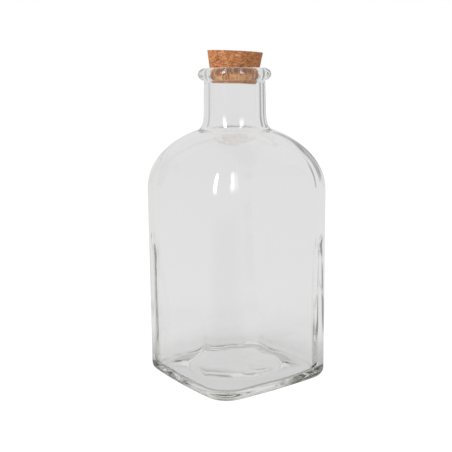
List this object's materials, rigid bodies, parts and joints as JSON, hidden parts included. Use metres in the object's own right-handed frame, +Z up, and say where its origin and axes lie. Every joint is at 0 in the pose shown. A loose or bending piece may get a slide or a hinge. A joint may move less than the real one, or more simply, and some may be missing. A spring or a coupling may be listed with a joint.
{
  "type": "square glass bottle with cork stopper",
  "caption": "Square clear glass bottle with rounded corners, domed shoulder, round beaded neck and a tapered cork stopper that pulls out; stores and pours dry goods or liquids.",
  "frame": {"origin": "middle of the foot, on the surface that the bottle stands on", "axes": "+Z up along the bottle's axis, +X and +Y square to its flat faces"},
  "size_m": [0.094, 0.094, 0.2107],
  "materials": {
    "clear_glass": "polished",
    "cork": "matte"
  },
  "bodies": {
    "bottle": {"glass_bottle": "clear_glass"},
    "stopper": {"cork_stopper": "cork"}
  },
  "joints": [
    {"name": "stopper_pull", "type": "slide", "parent": "bottle", "child": "stopper", "axis": [0, 0, 1], "range_m": [0, 0.04]}
  ]
}
